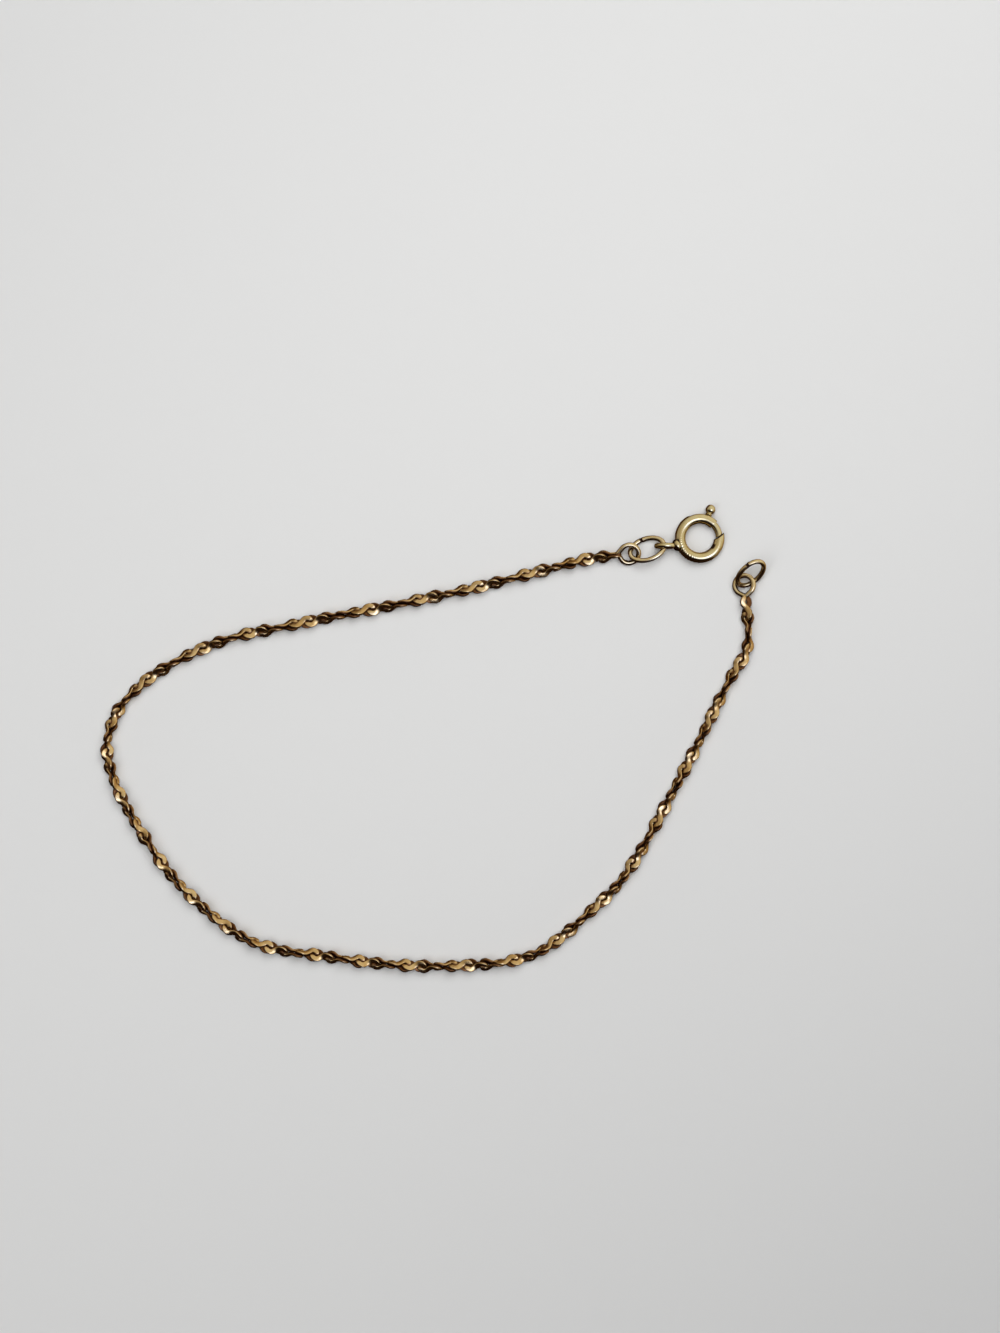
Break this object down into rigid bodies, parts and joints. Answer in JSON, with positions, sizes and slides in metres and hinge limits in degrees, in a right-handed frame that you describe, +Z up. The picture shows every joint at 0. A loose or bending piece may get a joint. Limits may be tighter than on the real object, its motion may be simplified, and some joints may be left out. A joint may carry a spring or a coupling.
{
  "type": "twisted serpentine chain bracelet with bolt ring clasp",
  "caption": "Fine twisted chain bracelet lying open, with a spring bolt ring on one end and a jump ring on the other.",
  "frame": {"origin": "middle of the footprint, on the surface that the bracelet lies on", "axes": "+Z up off the surface, +X along the longer side of the laid loop, towards the clasp and the far jump ring"},
  "size_m": [0.0734, 0.0518, 0.0026],
  "materials": {
    "chain_gold": "polished warm gold, with darker metal between the links",
    "clasp_gold": "polished pale yellow gold with light wear and fine file marks",
    "ring_gold": "polished yellow gold wire with light wear"
  },
  "bodies": {
    "bracelet": {"chain": "chain_gold", "clasp_ring": "clasp_gold", "clasp_jump_ring": "ring_gold", "clasp_end_loop": "ring_gold", "far_end_loop": "ring_gold", "far_jump_ring": "ring_gold"},
    "bolt": {"clasp_bolt": "clasp_gold"}
  },
  "joints": [
    {"name": "bolt_draw", "type": "hinge", "parent": "bracelet", "child": "bolt", "pos_m": [0.02946, 0.02219, 0.00073], "axis": [0.067, 0.0153, 0.9976], "range_deg": [0, 42], "stiffness_Nm_per_rad": 0.004, "springref_deg": -22.92}
  ]
}
